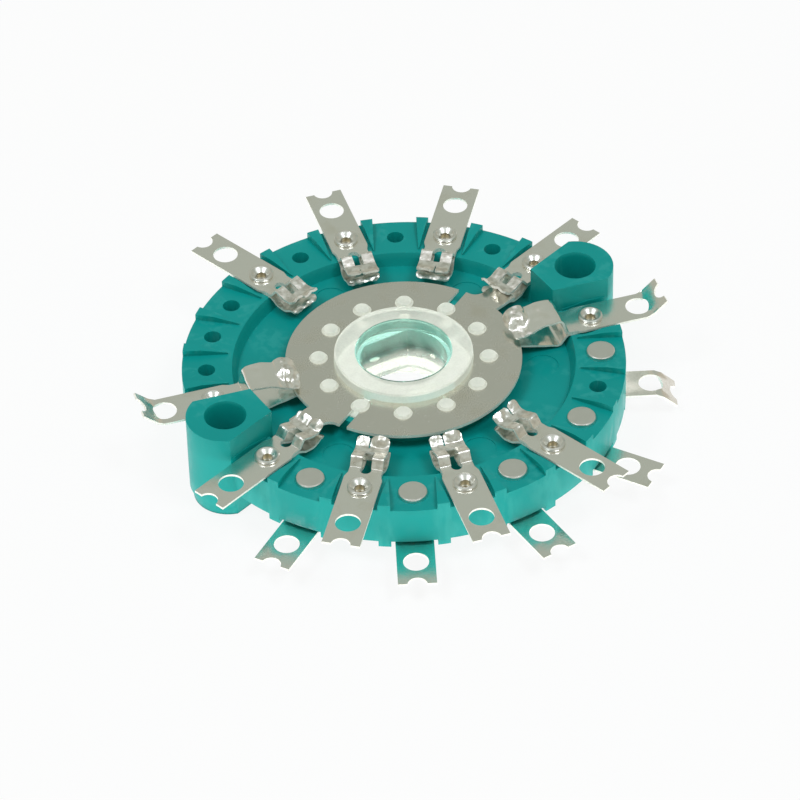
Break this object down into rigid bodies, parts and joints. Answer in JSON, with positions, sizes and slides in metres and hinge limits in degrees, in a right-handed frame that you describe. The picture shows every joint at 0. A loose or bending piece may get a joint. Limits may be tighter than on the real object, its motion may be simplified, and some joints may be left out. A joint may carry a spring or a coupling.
{
  "type": "rotary wafer switch section",
  "caption": "Round moulded wafer with riveted double-leaf contact clips and solder lugs on both faces, and a clear rotor with split contact blades that turns in its centre.",
  "frame": {"origin": "on the rotor's axis, halfway between the two faces of the wafer and midway between the two tie rod holes", "axes": "+Z along the rotor's axis, out of the face that carries more clips; +X through the centre of one tie rod post"},
  "size_m": [0.041, 0.0414, 0.0074],
  "materials": {
    "stator_plastic": "moulded, satin",
    "hub_clear": "clear moulded",
    "blade_metal": "silver plated, satin",
    "clip_metal": "silver plated spring sheet",
    "rivet_metal": "plated, bright"
  },
  "bodies": {
    "wafer": {"stator": "stator_plastic", "lug_leaf_01": "clip_metal", "lug_leaf_03": "clip_metal", "lug_leaf_05": "clip_metal", "lug_leaf_07": "clip_metal", "lug_leaf_13": "clip_metal", "lug_leaf_15": "clip_metal", "lug_leaf_17": "clip_metal", "lug_leaf_19": "clip_metal", "lug_leaf_23": "clip_metal", "lug_leaf_11": "clip_metal", "lug_leaf_20": "clip_metal", "lug_leaf_18": "clip_metal", "lug_leaf_16": "clip_metal", "lug_leaf_14": "clip_metal", "lug_leaf_22": "clip_metal", "spring_leaf_01": "clip_metal", "spring_leaf_03": "clip_metal", "spring_leaf_05": "clip_metal", "spring_leaf_07": "clip_metal", "spring_leaf_13": "clip_metal", "spring_leaf_15": "clip_metal", "spring_leaf_17": "clip_metal", "spring_leaf_19": "clip_metal", "spring_leaf_23": "clip_metal", "spring_leaf_11": "clip_metal", "spring_leaf_20": "clip_metal", "spring_leaf_18": "clip_metal", "spring_leaf_16": "clip_metal", "spring_leaf_14": "clip_metal", "spring_leaf_22": "clip_metal", "rivet_01": "rivet_metal", "rivet_03": "rivet_metal", "rivet_05": "rivet_metal", "rivet_07": "rivet_metal", "rivet_13": "rivet_metal", "rivet_15": "rivet_metal", "rivet_17": "rivet_metal", "rivet_19": "rivet_metal", "rivet_23": "rivet_metal", "rivet_11": "rivet_metal", "rivet_20": "rivet_metal", "rivet_18": "rivet_metal", "rivet_16": "rivet_metal", "rivet_14": "rivet_metal", "rivet_22": "rivet_metal"},
    "rotor": {"rotor_hub": "hub_clear", "blade_top_a": "blade_metal", "blade_top_b": "blade_metal", "blade_bottom_a": "blade_metal", "blade_bottom_b": "blade_metal"}
  },
  "joints": [
    {"name": "rotor_turn", "type": "hinge", "parent": "wafer", "child": "rotor", "pos_m": [0, 0, 0], "axis": [0, 0, 1], "continuous": true}
  ]
}
